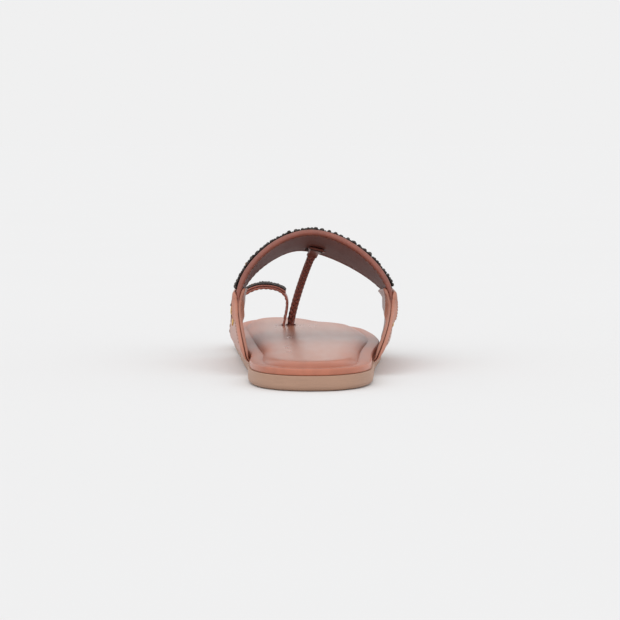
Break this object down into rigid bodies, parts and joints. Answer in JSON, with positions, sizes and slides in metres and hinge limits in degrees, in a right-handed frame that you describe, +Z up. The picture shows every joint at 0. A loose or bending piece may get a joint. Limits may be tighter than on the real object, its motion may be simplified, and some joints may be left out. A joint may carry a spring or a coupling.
{
  "type": "toe-loop sandal",
  "caption": "Flat right-foot slip-on sandal: padded footbed, beaded instep strap held by side flaps, toe loop, and a braided thong between them.",
  "frame": {"origin": "centre of the footprint's bounding box, on the ground", "axes": "+Y from heel to toe, +X to the little-toe side (the big toe is on -X), +Z up"},
  "size_m": [0.0962, 0.25, 0.0743],
  "materials": {
    "outsole_rubber": "satin moulded thermoplastic rubber, pale tan",
    "fibre_board": "raw cellulose fibre board",
    "foam": "open-cell padding foam",
    "tan_leather": "semi-gloss smooth tan leather",
    "brown_leather": "satin smooth brown leather",
    "dark_lining": "satin dark brown lining leather",
    "dark_beads": "small glossy black and gunmetal seed beads",
    "gold_thread": "gold metallic embroidery",
    "braid_leather": "semi-gloss dark red-brown leather",
    "thread": "waxed sewing thread"
  },
  "bodies": {
    "root": {"outsole": "outsole_rubber", "insole_board": "fibre_board", "footbed_cushion": "foam", "insole_cover": "tan_leather", "vamp_lining": "dark_lining", "vamp_padding": "foam", "vamp_upper": "brown_leather", "vamp_beadwork": "dark_beads", "vamp_rear_piping": "brown_leather", "vamp_front_piping": "brown_leather", "medial_ear_outer": "tan_leather", "medial_ear_lining": "brown_leather", "medial_ear_stitching": "thread", "medial_ear_motif": "gold_thread", "lateral_ear_outer": "tan_leather", "lateral_ear_lining": "brown_leather", "lateral_ear_stitching": "thread", "lateral_ear_motif": "gold_thread", "toe_loop_lining": "brown_leather", "toe_loop_upper": "brown_leather", "toe_loop_beadwork": "dark_beads", "braid_strand_1": "braid_leather", "braid_strand_2": "braid_leather", "braid_strand_3": "braid_leather", "thong_leaf": "braid_leather", "leaf_stitching": "thread", "thong_root": "braid_leather"}
  },
  "joints": []
}
